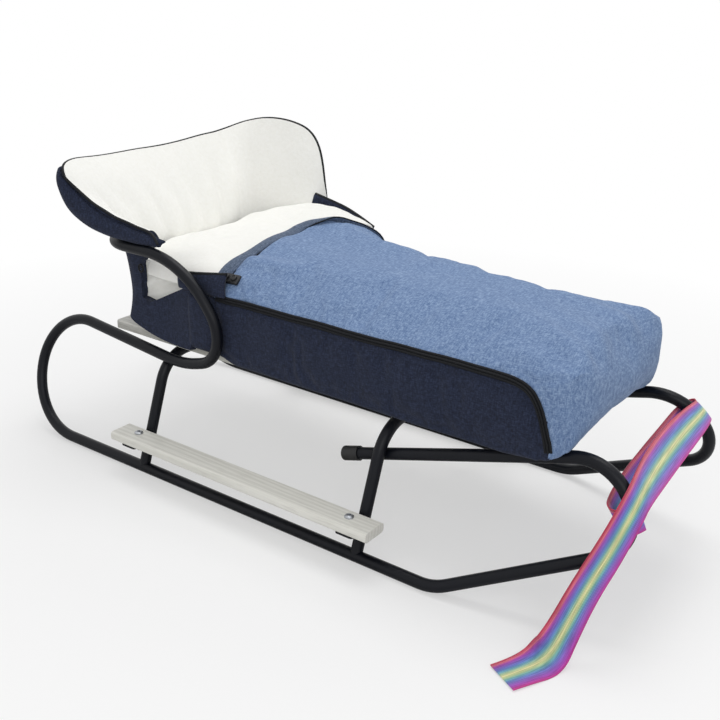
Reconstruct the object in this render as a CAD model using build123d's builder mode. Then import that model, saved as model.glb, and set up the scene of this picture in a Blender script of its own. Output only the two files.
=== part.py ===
from build123d import *
import os
from math import atan2, cos, radians, tan

# Baby sled: a frame of bent steel tube on two runners, wooden seat slats and
# foot boards, a padded foot muff with a hood, and a woven tow strap.
# Millimetres. +X is the front, +Y the left side, +Z up. The origin is on the
# ground in the middle of the sled.

os.makedirs("parts", exist_ok=True)

# Frame
tube_d = 18.0
weld_gap = 0.2
track = 432.0
rear_bow_x = -255.0
front_bow_x = 180.0
bow_height = 190.0
bow_bend = 60.0
bow_top_w = 307.35

# Side tubes, from the upper rail round to the arm
rail_weld_drop = 43.5
rail_tail = 68.0
brow_x = 508.0
brow_y = 128.5
brow_over = 48.0
nose_x = 569.5
nose_y = 155.5
nose_height = 142.5
brow_bend = 75.0
nose_bend = 55.0
toe_x = 309.0
toe_bend = 83.0
loop_back_x = -547.0
loop_low_bend = 109.0
loop_high_bend = 97.0
arm_rear_height = 212.0
arm_weld_over = 1.0
arm_front_x = -209.0
arm_front_bend = 182.0
curl_x = -82.0
curl_y = 174.0
curl_height = 229.0
curl_bend = 60.0
crest_x = -190.0
crest_height = 368.0
crest_bend = 160.0
arm_joint_x = -290.0

# Back rest bar
back_x = -377.0
back_bend = 60.0

# Plastic end caps
cap_d = 22.0
cap_grip = 24.0
cap_end = 4.0
cap_round = 2.5
cap_fit = 0.15

# Seat slats
slat_w = 36.0
slat_t = 16.0
slat_edge = 3.0
slat_rear_over = 138.0
slat_front_over = 85.0
slat_side_gap = 2.1
slat_count = 4
seat_gap = 0.2

# Foot boards and their brackets
board_rear_over = 34.0
board_front_over = 41.0
board_w = 44.0
board_t = 15.0
board_edge = 5.0
board_top = 77.0
board_out = 15.0
bracket_w = 30.0
bracket_t = 4.0
bracket_reach = 18.0
bracket_gap = 0.2

# Foot muff: base with floor and side walls, the zipped cover and its fleece flap
muff_clearance = 5.0
muff_rear_x = -200.0
muff_wall = 14.0
muff_crown = 156.0
muff_rises = [
    # along the muff from its rear end, right shoulder, crown, left shoulder above the floor
    (-175.0, 112.0, 123.0, 124.0),
    (50.0, 134.0, 163.0, 152.0),
    (290.0, 130.0, 156.0, 130.0),
    (672.0, 126.0, 154.0, 126.0),
]
muff_spare = 40.0
muff_plan_over = 0.5
muff_round = 60.0
muff_hem = 14.0
muff_foot_x = 472.0
muff_foot_low_x = 450.0
muff_foot_mid = 70.0
muff_foot_top = 138.0
muff_foot_taper_x = 190.0
muff_taper_over = 5.0
muff_toe_round = 45.0
muff_plan_round = 65.0
cover_rear_x = -150.0
collar_turn_y = 55.0
collar_skew = 80.0
flap_t = 10.0
flap_inset = 2.0
zip_height = 100.0
zip_gap = 0.4
zip_corner_x = 422.0
zip_low_x = 448.0
zip_bend = 40.0
rest_gap = 0.3

# Hood
hood_wall = 14.0
hood_base_inset = 14.0
hood_base_back = -335.0
hood_flare = 144.0
hood_rim_half = 214.0
hood_rim_back = -450.0
hood_round = 55.0
rim_spare = 10.0
hood_rim = [
    # forward of the hood's back, drop below its top on the right, drop on the left
    (-10.0, 51.0, 42.0),
    (17.0, 53.0, 34.0),
    (65.0, 75.0, 27.0),
    (143.0, 115.0, 10.0),
    (220.0, 141.0, 39.0),
    (280.0, 146.0, 130.0),
]

# Tow strap
strap_w = 50.0
strap_t = 2.0
strap_slack = 1.3
strap_at = 415.0
strap_cover = 76.0
strap_sections = 5
tail_x = 545.3
tail_y = -161.3
tail_top = 175.7
tail_knee = 100.0
tail_knee_out = 46.0
tail_floor_out = 74.0
tail_end_out = 172.0
tail_bend_share = 0.45
tail_turn = 63.5

# Worked out from the sizes above
tube_r = tube_d / 2
half_track = track / 2
lean = atan2(half_track - bow_top_w / 2, bow_height - tube_r)
sides = [("left", 1), ("right", -1)]


def leg_y(height):
    """Distance of a leg's centre line from the middle plane, at a height."""
    return half_track - tan(lean) * (height - tube_r)


def on_side(point, side):
    """The point on the left (1) or the right (-1) side of the sled."""
    return Vector(point.X, side * point.Y, point.Z)


# The arm runs straight from the rear loop and passes outside the rear bow's bend.
arm_weld_height = bow_height + arm_weld_over
bow_corner_y = bow_top_w / 2
bend_centre_y = bow_corner_y - bow_bend * tan((radians(90) - lean) / 2)
bend_centre_z = bow_height - bow_bend
arm_reach = bow_bend + tube_d + weld_gap
arm_weld_y = bend_centre_y + (arm_reach**2 - (arm_weld_height - bend_centre_z) ** 2) ** 0.5
arm_rear = Vector(loop_back_x, leg_y(arm_rear_height), arm_rear_height)
arm_weld = Vector(rear_bow_x, arm_weld_y, arm_weld_height)
arm_share = (arm_front_x - loop_back_x) / (rear_bow_x - loop_back_x)
arm_front = arm_rear + (arm_weld - arm_rear) * arm_share

# The upper rail runs straight from the brow and passes inside the front bow's leg.
brow_height = bow_height + brow_over
rail_weld_height = bow_height - rail_weld_drop
brow = Vector(brow_x, brow_y, brow_height)
rail_weld_y = leg_y(rail_weld_height) - (tube_d + weld_gap) / cos(lean)
rail_weld = Vector(front_bow_x, rail_weld_y, rail_weld_height)
rail_axis = (rail_weld - brow).normalized()
rail_end = rail_weld + rail_axis * rail_tail

side_corners = [
    # corner of the tube's centre line, bend radius
    (brow, brow_bend),
    (Vector(nose_x, nose_y, nose_height), nose_bend),
    (Vector(toe_x, half_track, tube_r), toe_bend),
    (Vector(loop_back_x, half_track, tube_r), loop_low_bend),
    (arm_rear, loop_high_bend),
    (arm_front, arm_front_bend),
    (Vector(curl_x, curl_y, curl_height), curl_bend),
    (Vector(crest_x, curl_y, crest_height), crest_bend),
]
arm_joint = Vector(arm_joint_x, curl_y, crest_height)

# Side tubes: each is one bent tube from the capped end at the front bow, round
# the nose, along the runner, round the rear loop and up the arm's curl.
for name, side in sides:
    route_points = [rail_end] + [corner for corner, bend in side_corners] + [arm_joint]
    with BuildPart() as side_tube:
        with BuildLine() as side_route:
            FilletPolyline(
                *[on_side(point, side) for point in route_points],
                radius=[bend for corner, bend in side_corners],
            )
        with BuildSketch(Plane(side_route.line @ 0, z_dir=side_route.line % 0)):
            Circle(tube_r)
        sweep()
    side_tube.part.label = f"side_tube_{name}"
    export_step(side_tube.part, f"parts/side_tube_{name}.step")

# Bows: arches across the sled, their feet coped to the runners.
for name, bow_x in [("rear", rear_bow_x), ("front", front_bow_x)]:
    with BuildPart() as bow:
        with BuildLine() as bow_route:
            FilletPolyline(
                (bow_x, -half_track, tube_r),
                (bow_x, -bow_corner_y, bow_height),
                (bow_x, bow_corner_y, bow_height),
                (bow_x, half_track, tube_r),
                radius=bow_bend,
            )
        with BuildSketch(Plane(bow_route.line @ 0, z_dir=bow_route.line % 0)):
            Circle(tube_r)
        sweep()
        with BuildSketch(Plane.YZ.offset(bow_x - tube_d)):
            with Locations((-half_track, tube_r), (half_track, tube_r)):
                Circle(tube_r + weld_gap)
        extrude(amount=2 * tube_d, mode=Mode.SUBTRACT)
        split(bisect_by=Plane.XY.offset(tube_r), keep=Keep.TOP)
    bow.part.label = f"{name}_bow"
    export_step(bow.part, f"parts/{name}_bow.step")

# Back rest: the bar that joins the two arms behind the hood.
with BuildPart() as back_rest:
    with BuildLine() as back_route:
        FilletPolyline(
            (arm_joint_x, -curl_y, crest_height),
            (back_x, -curl_y, crest_height),
            (back_x, curl_y, crest_height),
            (arm_joint_x, curl_y, crest_height),
            radius=back_bend,
        )
    with BuildSketch(Plane(back_route.line @ 0, z_dir=back_route.line % 0)):
        Circle(tube_r)
    sweep()
back_rest.part.label = "back_rest"
export_step(back_rest.part, "parts/back_rest.step")

# End caps: plastic cups pushed over the open ends of the upper rails.
for name, side in sides:
    mouth = Plane(on_side(rail_end, side), z_dir=on_side(rail_axis, side)).offset(-cap_grip)
    with BuildPart() as end_cap:
        with BuildSketch(mouth):
            Circle(cap_d / 2)
        extrude(amount=cap_grip + cap_end)
        crown = end_cap.faces().sort_by(Axis(mouth.origin, mouth.z_dir))[-1]
        fillet(crown.edges(), cap_round)
        with BuildSketch(mouth):
            Circle(tube_r + cap_fit)
        extrude(amount=cap_grip + cap_fit, mode=Mode.SUBTRACT)
    end_cap.part.label = f"end_cap_{name}"
    export_step(end_cap.part, f"parts/end_cap_{name}.step")

# Seat slats: lengthwise on the crossbars of the two bows.
slat_low = bow_height + tube_r + seat_gap
slat_rear_x = rear_bow_x - slat_rear_over
slat_front_x = front_bow_x + slat_front_over
slat_outer = arm_rear.Y - tube_r - slat_side_gap
slat_pitch = (2 * slat_outer - slat_w) / (slat_count - 1)
for index in range(slat_count):
    slat_y = (index - (slat_count - 1) / 2) * slat_pitch
    with BuildPart() as slat:
        with BuildSketch(Plane.YZ.offset(slat_rear_x)):
            with Locations((slat_y, slat_low + slat_t / 2)):
                RectangleRounded(slat_w, slat_t, slat_edge)
        extrude(amount=slat_front_x - slat_rear_x)
    slat.part.label = f"seat_slat_{index + 1}"
    export_step(slat.part, f"parts/seat_slat_{index + 1}.step")

# Foot boards: outside the legs, with rounded long edges.
board_low = board_top - board_t
board_y = half_track + board_out
board_rear_x = rear_bow_x - board_rear_over
board_front_x = front_bow_x + board_front_over
for name, side in sides:
    with BuildPart() as board:
        with BuildSketch(Plane.YZ.offset(board_rear_x)):
            with Locations((side * board_y, board_low + board_t / 2)):
                RectangleRounded(board_w, board_t, board_edge)
        extrude(amount=board_front_x - board_rear_x)
    board.part.label = f"foot_board_{name}"
    export_step(board.part, f"parts/foot_board_{name}.step")

# Brackets: flat tabs under the foot boards, notched round the legs.
bracket_top = board_low - bracket_gap
bracket_inner = leg_y(bracket_top)
bracket_outer = board_y + bracket_reach
for bow_name, bow_x in [("rear", rear_bow_x), ("front", front_bow_x)]:
    for name, side in sides:
        with BuildPart() as bracket:
            with BuildSketch(Plane.XY.offset(bracket_top - bracket_t)):
                with Locations((bow_x, side * (bracket_inner + bracket_outer) / 2)):
                    RectangleRounded(bracket_w, bracket_outer - bracket_inner, bracket_t)
            extrude(amount=bracket_t)
            foot = Vector(bow_x, side * half_track, tube_r)
            knee = Vector(bow_x, side * bow_corner_y, bow_height)
            with BuildSketch(Plane(foot, z_dir=knee - foot)):
                Circle(tube_r + weld_gap)
            extrude(amount=bow_height, mode=Mode.SUBTRACT)
        bracket.part.label = f"bracket_{bow_name}_{name}"
        export_step(bracket.part, f"parts/bracket_{bow_name}_{name}.step")

# Foot muff: a rounded padded box that tapers to the foot end.
muff_half = curl_y - tube_r - muff_clearance
hood_base_half = muff_half - hood_base_inset
muff_low = slat_low + slat_t + rest_gap
muff_top = muff_low + muff_crown
rail_slope = (brow_height - rail_weld_height) / (brow_x - front_bow_x)
rail_top = rail_weld_height + (tube_r + rest_gap) * (1 + rail_slope**2) ** 0.5
rail_touch_x = front_bow_x + (muff_low - rail_top) / rail_slope
foot_low = rail_top + (muff_foot_low_x - front_bow_x) * rail_slope


def muff_form(inset, rear_x):
    """The muff's outside, or the hollow inside it at an inset, from its rear end on."""
    half = muff_half - inset
    low = muff_low + inset
    foot_slope = (foot_low - muff_low) / (muff_foot_low_x - inset - rail_touch_x)
    plan_half = half + muff_plan_over
    plan_rear_x = rear_x - muff_hem
    with BuildPart() as form:
        for along, right_shoulder, crown, left_shoulder in muff_rises:
            with BuildSketch(Plane.YZ.offset(muff_rear_x + along)) as section:
                with BuildLine():
                    Polyline(
                        (-half, muff_low + right_shoulder - inset),
                        (-half, low),
                        (half, low),
                        (half, muff_low + left_shoulder - inset),
                    )
                    ThreePointArc(
                        (half, muff_low + left_shoulder - inset),
                        (0, muff_low + crown - inset),
                        (-half, muff_low + right_shoulder - inset),
                    )
                make_face()
                corners = section.vertices().sort_by(Axis.Y)
                fillet(corners[2:], muff_round - inset)
                fillet(section.vertices().sort_by(Axis.Y)[:2], muff_hem)
        loft(ruled=True)
        with BuildSketch(Plane.XZ) as profile:
            with BuildLine():
                Polyline(
                    (rear_x, low - muff_hem),
                    (rail_touch_x - muff_hem / foot_slope, low - muff_hem),
                    (muff_foot_low_x - inset, foot_low + inset),
                    (muff_foot_x - inset, muff_low + muff_foot_mid),
                    (muff_foot_x - inset, muff_low + muff_foot_top - inset),
                    (muff_foot_taper_x, muff_top + muff_taper_over - inset),
                    (rear_x, muff_top + muff_spare - inset),
                    close=True,
                )
            make_face()
            toe = profile.vertices().sort_by(Axis.X)[-2:]
            fillet(toe.sort_by(Axis.Y)[-1:], muff_toe_round)
        extrude(amount=muff_half + muff_hem, both=True, mode=Mode.INTERSECT)
        with BuildSketch(Plane.XY.offset(muff_low - muff_hem)):
            with BuildLine():
                FilletPolyline(
                    (plan_rear_x, -plan_half),
                    (muff_foot_x - inset, -plan_half),
                    (muff_foot_x - inset, plan_half),
                    (plan_rear_x, plan_half),
                    radius=muff_plan_round - inset,
                )
                Line((plan_rear_x, plan_half), (plan_rear_x, -plan_half))
            make_face()
        extrude(amount=muff_crown + muff_hem + muff_spare, mode=Mode.INTERSECT)
    return form.part


def behind_collar(gap):
    """The space behind the cover's open end, which is skewed on the left side."""
    with BuildPart() as space:
        with BuildSketch(Plane.XY.offset(muff_low - muff_hem)):
            with BuildLine():
                Polyline(
                    (hood_rim_back, -muff_half - muff_hem),
                    (cover_rear_x - gap, -muff_half - muff_hem),
                    (cover_rear_x - gap, collar_turn_y),
                    (cover_rear_x + collar_skew - gap, muff_half + muff_hem),
                    (hood_rim_back, muff_half + muff_hem),
                    close=True,
                )
            make_face()
        extrude(amount=muff_crown + muff_hem + muff_spare)
    return space.part


def below_zip(gap):
    """The space under the zip, a gap away from it."""
    with BuildPart() as space:
        with BuildSketch(Plane.XZ):
            with BuildLine():
                FilletPolyline(
                    (muff_rear_x - muff_hem, muff_low + zip_height + gap),
                    (zip_corner_x + gap, muff_low + zip_height + gap),
                    (zip_low_x + gap, muff_low - muff_hem),
                    radius=zip_bend,
                )
                Polyline(
                    (zip_low_x + gap, muff_low - muff_hem),
                    (muff_rear_x - muff_hem, muff_low - muff_hem),
                    (muff_rear_x - muff_hem, muff_low + zip_height + gap),
                )
            make_face()
        extrude(amount=muff_half + muff_hem, both=True)
    return space.part


muff_outside = muff_form(0, muff_rear_x)
muff_hollow = muff_form(muff_wall, muff_rear_x - muff_hem)
side_space = below_zip(0)
cover_limit = below_zip(zip_gap)
cover_opening = behind_collar(0)
flap_room = behind_collar(rest_gap)

# The base: side walls up to the zip, and the floor that reaches back to the hood.
with BuildPart() as muff_base:
    add(muff_outside)
    add(muff_hollow, mode=Mode.SUBTRACT)
    add(side_space, mode=Mode.INTERSECT)
    with BuildSketch(Plane.XY.offset(muff_low)):
        with BuildLine():
            FilletPolyline(
                (muff_rear_x, -hood_base_half),
                (hood_base_back, -hood_base_half),
                (hood_base_back, hood_base_half),
                (muff_rear_x, hood_base_half),
                radius=hood_round,
            )
            Line((muff_rear_x, hood_base_half), (muff_rear_x, -hood_base_half))
        make_face()
    extrude(amount=muff_wall)
muff_base.part.label = "muff_base"
export_step(muff_base.part, "parts/muff_base.step")

# The cover: the top panel and the foot end, zipped to the base.
with BuildPart() as muff_cover:
    add(muff_outside)
    add(muff_hollow, mode=Mode.SUBTRACT)
    add(cover_limit, mode=Mode.SUBTRACT)
    add(cover_opening, mode=Mode.SUBTRACT)
muff_cover.part.label = "muff_cover"
export_step(muff_cover.part, "parts/muff_cover.step")

# Hood: a back and two wings inside the back rest, flaring out above it.
hood_low = muff_low + muff_wall + rest_gap
hood_front_x = muff_rear_x - rest_gap
hood_neck_height = crest_height + tube_d
hood_neck_back = back_x + tube_r + muff_clearance
hood_rim_height = hood_neck_height + hood_flare
hood_sections = [
    # height, half width, back
    (hood_low, hood_base_half, hood_base_back),
    (hood_neck_height, muff_half, hood_neck_back),
    (hood_rim_height, hood_rim_half, hood_rim_back),
]


def hood_form(inset, front):
    """The hood's outside, or the space inside it at an inset."""
    with BuildPart() as form:
        for height, half, back in hood_sections:
            with BuildSketch(Plane.XY.offset(height)):
                with BuildLine():
                    FilletPolyline(
                        (front, inset - half),
                        (back + inset, inset - half),
                        (back + inset, half - inset),
                        (front, half - inset),
                        radius=hood_round - inset,
                    )
                    Line((front, half - inset), (front, inset - half))
                make_face()
        loft(ruled=True)
    return form.part


hood_outside = hood_form(0, hood_front_x)
hood_inside = hood_form(hood_wall, hood_front_x + hood_wall)

# The space above the rim, which lies lower on the right wing than on the left.
rim_top = hood_rim_height + rim_spare
with BuildPart() as above_rim:
    for side, column in [(-1, 1), (1, 2)]:
        edge = [(hood_rim_back + row[0], hood_rim_height - row[column]) for row in hood_rim]
        with BuildSketch(Plane.XZ.offset(-side * (hood_rim_half + rim_spare))):
            with BuildLine():
                Polyline((edge[0][0], rim_top), *edge, (edge[-1][0], rim_top), close=True)
            make_face()
    loft(ruled=True)

with BuildPart() as muff_hood:
    add(hood_outside)
    add(hood_inside, mode=Mode.SUBTRACT)
    add(above_rim.part, mode=Mode.SUBTRACT)
muff_hood.part.label = "muff_hood"
export_step(muff_hood.part, "parts/muff_hood.step")

# Flap: the fleece lining, turned back out of the cover's open end and laid between the
# hood's wings.
flap_outside = muff_form(flap_inset, hood_neck_back)
flap_inside = muff_form(flap_inset + flap_t, hood_neck_back)
hood_room = hood_form(hood_wall + rest_gap, cover_rear_x + collar_skew)
with BuildPart() as muff_flap:
    add(flap_outside)
    add(flap_inside, mode=Mode.SUBTRACT)
    add(hood_room, mode=Mode.INTERSECT)
    add(flap_room, mode=Mode.INTERSECT)
    split(bisect_by=Plane.XY.offset(muff_low + zip_height), keep=Keep.TOP)
muff_flap.part.label = "muff_flap"
export_step(muff_flap.part, "parts/muff_flap.step")

# Tow strap: wound round both noses, each section square to the tube there.
strap_pitch = strap_cover / (strap_sections - 1)
strap_lengths = [strap_at + index * strap_pitch for index in range(strap_sections)]
strap_radius = tube_r + strap_slack
side_wire = side_route.wire()


def strap_form(radius):
    """The slot-shaped outline round both noses, lofted down the tubes."""
    with BuildPart() as form:
        for length in strap_lengths:
            place = side_wire.position_at(length, position_mode=PositionMode.LENGTH)
            along = side_wire.tangent_at(length, position_mode=PositionMode.LENGTH)
            square = Plane((place.X, 0, place.Z), x_dir=(0, 1, 0), z_dir=(along.X, 0, along.Z))
            with BuildSketch(square):
                SlotCenterToCenter(2 * abs(place.Y), 2 * radius)
        loft(ruled=True)
    return form.part


strap_outside = strap_form(strap_radius + strap_t)
strap_inside = strap_form(strap_radius)
with BuildPart() as strap_wound:
    add(strap_outside)
    add(strap_inside, mode=Mode.SUBTRACT)
strap_wound.part.label = "strap_wound"
export_step(strap_wound.part, "parts/strap_wound.step")

# The strap's tail hangs from the right nose and lies on the ground.
tail_points = [
    # out from the nose, height
    Vector(0, tail_top),
    Vector(tail_knee_out, tail_knee),
    Vector(tail_floor_out, strap_t / 2),
    Vector(tail_end_out, strap_t / 2),
]
tail_bends = []
for before, corner, after in zip(tail_points, tail_points[1:], tail_points[2:]):
    half_turn = radians((corner - before).get_angle(after - corner)) / 2
    shorter_run = min((corner - before).length, (after - corner).length)
    tail_bends.append(tail_bend_share * shorter_run / tan(half_turn))
print("strap tail bend radii", [round(bend, 1) for bend in tail_bends])
tail_out = Vector(-1, 0, 0).rotate(Axis.Z, tail_turn)
tail_side = tail_out.cross(Vector(0, 0, 1))
with BuildPart() as strap_tail:
    with BuildSketch(Plane((tail_x, tail_y, 0), x_dir=tail_out, z_dir=tail_side)):
        with BuildLine():
            FilletPolyline(*tail_points, radius=tail_bends)
        trace(line_width=strap_t)
    extrude(amount=strap_w / 2, both=True)
strap_tail.part.label = "strap_tail"
export_step(strap_tail.part, "parts/strap_tail.step")
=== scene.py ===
import bpy
from math import cos, exp, pi, radians, sin
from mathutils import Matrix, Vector, noise


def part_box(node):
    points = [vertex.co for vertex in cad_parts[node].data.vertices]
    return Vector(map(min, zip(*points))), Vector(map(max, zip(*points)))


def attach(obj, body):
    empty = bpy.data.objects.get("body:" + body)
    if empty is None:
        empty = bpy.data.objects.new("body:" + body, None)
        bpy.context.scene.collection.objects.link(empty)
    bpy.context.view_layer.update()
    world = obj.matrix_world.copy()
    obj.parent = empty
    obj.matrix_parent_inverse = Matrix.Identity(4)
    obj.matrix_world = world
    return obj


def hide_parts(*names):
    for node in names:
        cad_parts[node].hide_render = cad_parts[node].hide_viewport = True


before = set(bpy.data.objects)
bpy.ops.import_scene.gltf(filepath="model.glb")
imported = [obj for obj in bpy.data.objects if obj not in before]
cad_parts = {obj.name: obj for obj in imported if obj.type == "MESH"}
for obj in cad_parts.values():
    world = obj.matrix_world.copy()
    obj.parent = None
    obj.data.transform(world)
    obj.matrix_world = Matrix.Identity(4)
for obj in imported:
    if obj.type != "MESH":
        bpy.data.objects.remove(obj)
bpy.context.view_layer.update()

# Bent frame: side tubes, bows, back rest and bracket tabs, all of 18 mm steel tube
# or flat steel, welded, then powder coated in one go.


def linear(colour):
    """An sRGB hex colour as linear red, green, blue and alpha."""
    parts = [int(colour[i : i + 2], 16) / 255 for i in (1, 3, 5)]
    return [c / 12.92 if c <= 0.04045 else ((c + 0.055) / 1.055) ** 2.4 for c in parts] + [1.0]


def new_material(name):
    """A material with its node tree and its shader."""
    material = bpy.data.materials.new(name)
    material.use_nodes = True
    return material, material.node_tree, material.node_tree.nodes["Principled BSDF"]


def add_node(tree, kind, settings=(), links=()):
    """A node with its settings and socket values, and links into its sockets."""
    made = tree.nodes.new(kind)
    for key, value in dict(settings).items():
        if isinstance(key, str) and hasattr(made, key):
            setattr(made, key, value)
        else:
            made.inputs[key].default_value = value
    for key, source in dict(links).items():
        tree.links.new(source, made.inputs[key])
    return made


def dress(piece, *materials):
    """Gives a piece these materials in place of its own."""
    piece.data.materials.clear()
    for material in materials:
        piece.data.materials.append(material)


# Powder coat: baked resin with a faint orange peel, satin, blue-black.
steel_colour = "#090a0f"
steel_light = "#10131b"
peel_size = 0.0016
cloud_size = 0.12
powder_coat, tree, shader = new_material("powder_coated_steel")
place = add_node(tree, "ShaderNodeTexCoord").outputs["Object"]
peel = add_node(tree, "ShaderNodeTexNoise", {"Scale": 1 / peel_size, "Detail": 2.0}, {"Vector": place})
cloudy = add_node(tree, "ShaderNodeTexNoise", {"Scale": 1 / cloud_size, "Detail": 3.0}, {"Vector": place})
steel_tones = {"data_type": "RGBA", 6: linear(steel_colour), 7: linear(steel_light)}
tone = add_node(tree, "ShaderNodeMix", steel_tones, {0: cloudy.outputs["Fac"]})
sheen_band = add_node(tree, "ShaderNodeMapRange", {"To Min": 0.3, "To Max": 0.44}, {"Value": cloudy.outputs["Fac"]})
bumps = add_node(tree, "ShaderNodeBump", {"Strength": 0.12, "Distance": 0.0004}, {"Height": peel.outputs["Fac"]})
tree.links.new(tone.outputs[2], shader.inputs["Base Color"])
tree.links.new(sheen_band.outputs[0], shader.inputs["Roughness"])
tree.links.new(bumps.outputs["Normal"], shader.inputs["Normal"])
shader.inputs["Specular IOR Level"].default_value = 0.2
for name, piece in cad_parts.items():
    if name.startswith(("side_tube", "front_bow", "rear_bow", "back_rest", "bracket")):
        dress(piece, powder_coat)

# End caps: black polyethylene cups pushed over the open ends of the upper rails. They are
# moulded, with a dull skin that spreads the light.
cap_colour = "#101012"
cap_grit = 0.0012
cap_plastic, tree, shader = new_material("moulded_polyethylene")
place = add_node(tree, "ShaderNodeTexCoord").outputs["Object"]
grit = add_node(tree, "ShaderNodeTexNoise", {"Scale": 1 / cap_grit, "Detail": 4.0}, {"Vector": place})
skin = add_node(tree, "ShaderNodeMapRange", {"To Min": 0.45, "To Max": 0.62}, {"Value": grit.outputs["Fac"]})
grain = add_node(tree, "ShaderNodeBump", {"Strength": 0.2, "Distance": 0.0003}, {"Height": grit.outputs["Fac"]})
shader.inputs["Base Color"].default_value = linear(cap_colour)
tree.links.new(skin.outputs[0], shader.inputs["Roughness"])
tree.links.new(grain.outputs["Normal"], shader.inputs["Normal"])
for side in ("left", "right"):
    dress(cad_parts[f"end_cap_{side}"], cap_plastic)

# Foot boards: planed softwood with rounded edges and a thin clear lacquer, pale grey, bolted
# down on the brackets. Rings and dark fibres run along the board.
wood_pale = "#e7e6df"
wood_mid = "#dad9d1"
wood_dark = "#c0beb5"
ring_width = 0.0075
ring_wander = 0.03
fibre_width = 0.0016
wave_period = 0.314  # a wave texture of this scale has one band in each metre
wood, tree, shader = new_material("lacquered_softwood")
place = add_node(tree, "ShaderNodeTexCoord").outputs["Object"]
along = add_node(tree, "ShaderNodeMapping", {"Scale": (0.045, 1.0, 0.6)}, {"Vector": place}).outputs[0]
wander = add_node(tree, "ShaderNodeTexNoise", {"Scale": 1 / ring_wander, "Detail": 3.0}, {"Vector": along})
bent = add_node(tree, "ShaderNodeMix", {"data_type": "VECTOR", 0: 0.02}, {4: along, 5: wander.outputs["Color"]})
ring_bands = {"bands_direction": "Y", "Scale": wave_period / ring_width, "Distortion": 2.5}
ring_detail = {"Detail": 3.0, "Detail Scale": 1.5}
rings = add_node(tree, "ShaderNodeTexWave", ring_bands | ring_detail, {"Vector": bent.outputs[1]})
fibres = add_node(tree, "ShaderNodeTexNoise", {"Scale": 1 / fibre_width, "Detail": 4.0}, {"Vector": along})
ring_tones = {"data_type": "RGBA", 6: linear(wood_pale), 7: linear(wood_mid)}
grain = add_node(tree, "ShaderNodeMix", ring_tones, {0: rings.outputs["Fac"]})
dark_share = {"From Min": 0.52, "From Max": 0.8, "To Max": 0.7}
fleck = add_node(tree, "ShaderNodeMapRange", dark_share, {"Value": fibres.outputs["Fac"]})
dark_fibre = {"data_type": "RGBA", 7: linear(wood_dark)}
tone = add_node(tree, "ShaderNodeMix", dark_fibre, {0: fleck.outputs[0], 6: grain.outputs[2]})
relief = add_node(tree, "ShaderNodeBump", {"Strength": 0.25, "Distance": 0.0004}, {"Height": fibres.outputs["Fac"]})
tree.links.new(tone.outputs[2], shader.inputs["Base Color"])
tree.links.new(relief.outputs["Normal"], shader.inputs["Normal"])
shader.inputs["Roughness"].default_value = 0.5
shader.inputs["Coat Weight"].default_value = 0.2
shader.inputs["Coat Roughness"].default_value = 0.3
for side in ("left", "right"):
    dress(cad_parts[f"foot_board_{side}"], wood)

# Board bolts: zinc-plated round-headed bolts with a socket, through the board and the
# bracket, with a hexagon nut underneath.
bolt_places = [(-0.25, 0.228), (0.175, 0.228), (-0.25, -0.228), (0.175, -0.228)]
head_radius = 0.007
head_rim = 0.0016
socket_radius = 0.0026
socket_depth = 0.0022
dome_steps = [
    # how much narrower and how much higher each step of the round head is
    (0.0012, 0.0012),
    (0.0014, 0.0007),
    (head_radius - 0.0026 - socket_radius, 0.0003),
]
nut_radius = 0.0074
nut_height = 0.0062
thread_radius = 0.0038
thread_over = 0.004
board_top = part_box("foot_board_left")[1].z
bracket_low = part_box("bracket_rear_left")[0].z

# Zinc plate: a thin bright coat, cloudy grey, that mirrors softly.
zinc_light = "#c3c6ca"
zinc_dark = "#8b8f95"
spangle_size = 0.003
zinc, tree, shader = new_material("zinc_plated_steel")
place = add_node(tree, "ShaderNodeTexCoord").outputs["Object"]
spangle = add_node(tree, "ShaderNodeTexNoise", {"Scale": 1 / spangle_size, "Detail": 3.0}, {"Vector": place})
zinc_tones = {"data_type": "RGBA", 6: linear(zinc_dark), 7: linear(zinc_light)}
tone = add_node(tree, "ShaderNodeMix", zinc_tones, {0: spangle.outputs["Fac"]})
dull = add_node(tree, "ShaderNodeMapRange", {"To Min": 0.28, "To Max": 0.5}, {"Value": spangle.outputs["Fac"]})
tree.links.new(tone.outputs[2], shader.inputs["Base Color"])
tree.links.new(dull.outputs[0], shader.inputs["Roughness"])
shader.inputs["Metallic"].default_value = 1.0


def apply_modifier(piece, kind, **settings):
    """Adds a modifier to a piece and applies it."""
    bpy.context.view_layer.objects.active = piece
    modifier = piece.modifiers.new(kind.lower(), kind)
    for key, value in settings.items():
        setattr(modifier, key, value)
    bpy.ops.object.modifier_apply(modifier=modifier.name)


def select_faces(piece, wanted):
    """Selects the faces of a piece that are wanted, and goes into edit mode."""
    bpy.ops.object.mode_set(mode="EDIT")
    bpy.ops.mesh.select_mode(type="FACE")
    bpy.ops.mesh.select_all(action="DESELECT")
    bpy.ops.object.mode_set(mode="OBJECT")
    for face in piece.data.polygons:
        face.select = wanted(face)
    bpy.ops.object.mode_set(mode="EDIT")


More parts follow.
